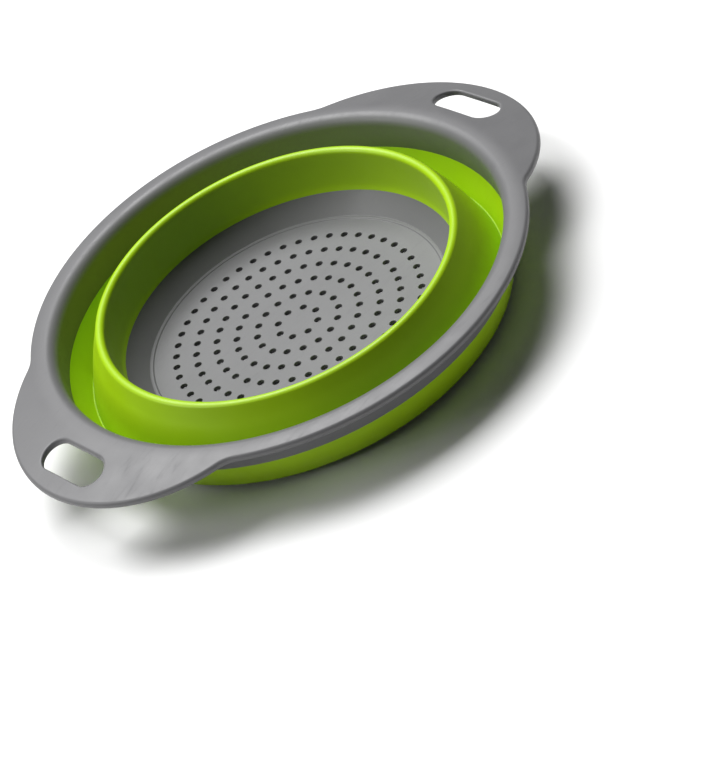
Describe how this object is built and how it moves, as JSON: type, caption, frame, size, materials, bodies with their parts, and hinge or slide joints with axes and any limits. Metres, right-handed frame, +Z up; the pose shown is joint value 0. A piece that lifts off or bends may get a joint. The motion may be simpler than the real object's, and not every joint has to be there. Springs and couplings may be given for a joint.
{
  "type": "collapsible colander",
  "caption": "Round folding colander: perforated rigid dish, soft bellows wall and a flanged rim with a slotted handle on each side, stored folded flat.",
  "frame": {"origin": "centre of the whole part's footprint, on the plane of the foot ring's underside", "axes": "+Z up along the axis of the dish, +X along the line through both handles, +Y across it"},
  "size_m": [0.2464, 0.202, 0.0308],
  "materials": {
    "grey_plastic": "satin moulded polypropylene",
    "green_soft": "satin soft moulded elastomer"
  },
  "bodies": {
    "dish": {"strainer_base": "grey_plastic", "lower_wall": "green_soft", "folding_wall": "green_soft"},
    "top_ring": {"upper_wall": "green_soft", "rim": "grey_plastic"}
  },
  "joints": [
    {"name": "unfold", "type": "slide", "parent": "dish", "child": "top_ring", "axis": [0, 0, 1], "range_m": [0, 0.0474], "deforming": ["folding_wall"]}
  ]
}
